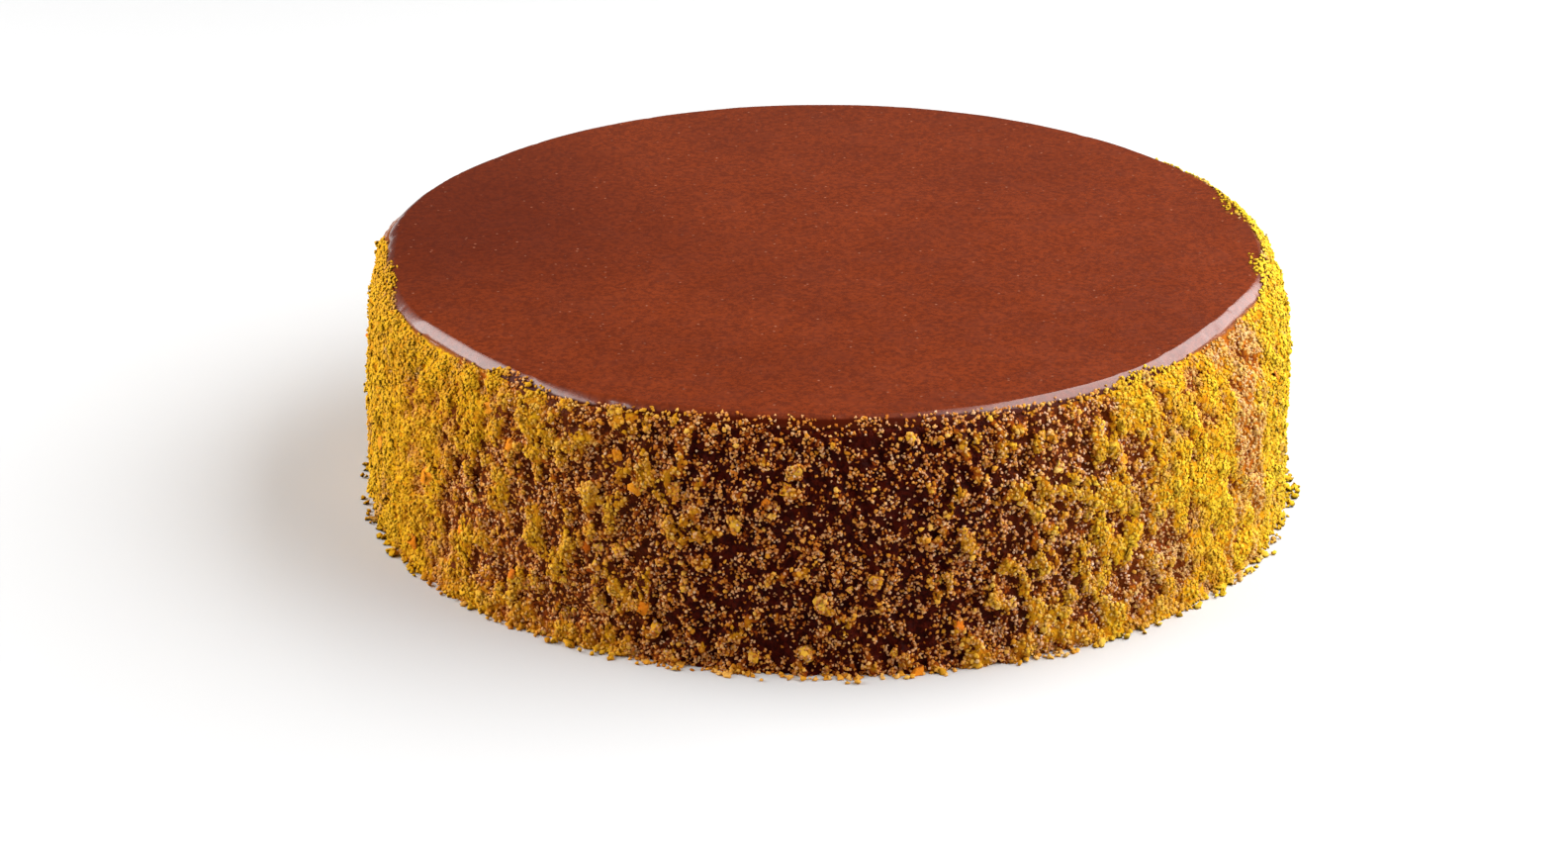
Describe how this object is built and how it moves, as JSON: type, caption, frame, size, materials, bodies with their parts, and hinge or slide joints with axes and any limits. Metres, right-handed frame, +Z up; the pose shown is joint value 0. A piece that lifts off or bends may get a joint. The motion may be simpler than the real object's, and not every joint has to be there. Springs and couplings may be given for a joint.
{
  "type": "tres leches cake",
  "caption": "Whole round cake with a flat, glossy caramel glaze over its top, a rounded glaze rim, and yellow sponge crumbs pressed all round its upright side.",
  "frame": {"origin": "centre of the underside, in the plane that the cake stands on", "axes": "+Z up, along the cake's axis of turning; -Y towards the shown front, +X to its right"},
  "size_m": [0.251, 0.2514, 0.067],
  "materials": {
    "crumb_side": "loose golden yellow sponge crumbs over a dark red-brown glazed side, dull and open",
    "glaze": "set red-brown caramel glaze, smooth with a satin gloss and a few pale specks"
  },
  "bodies": {
    "root": {"crumbed_cake": "crumb_side", "caramel_glaze": "glaze"}
  },
  "joints": []
}
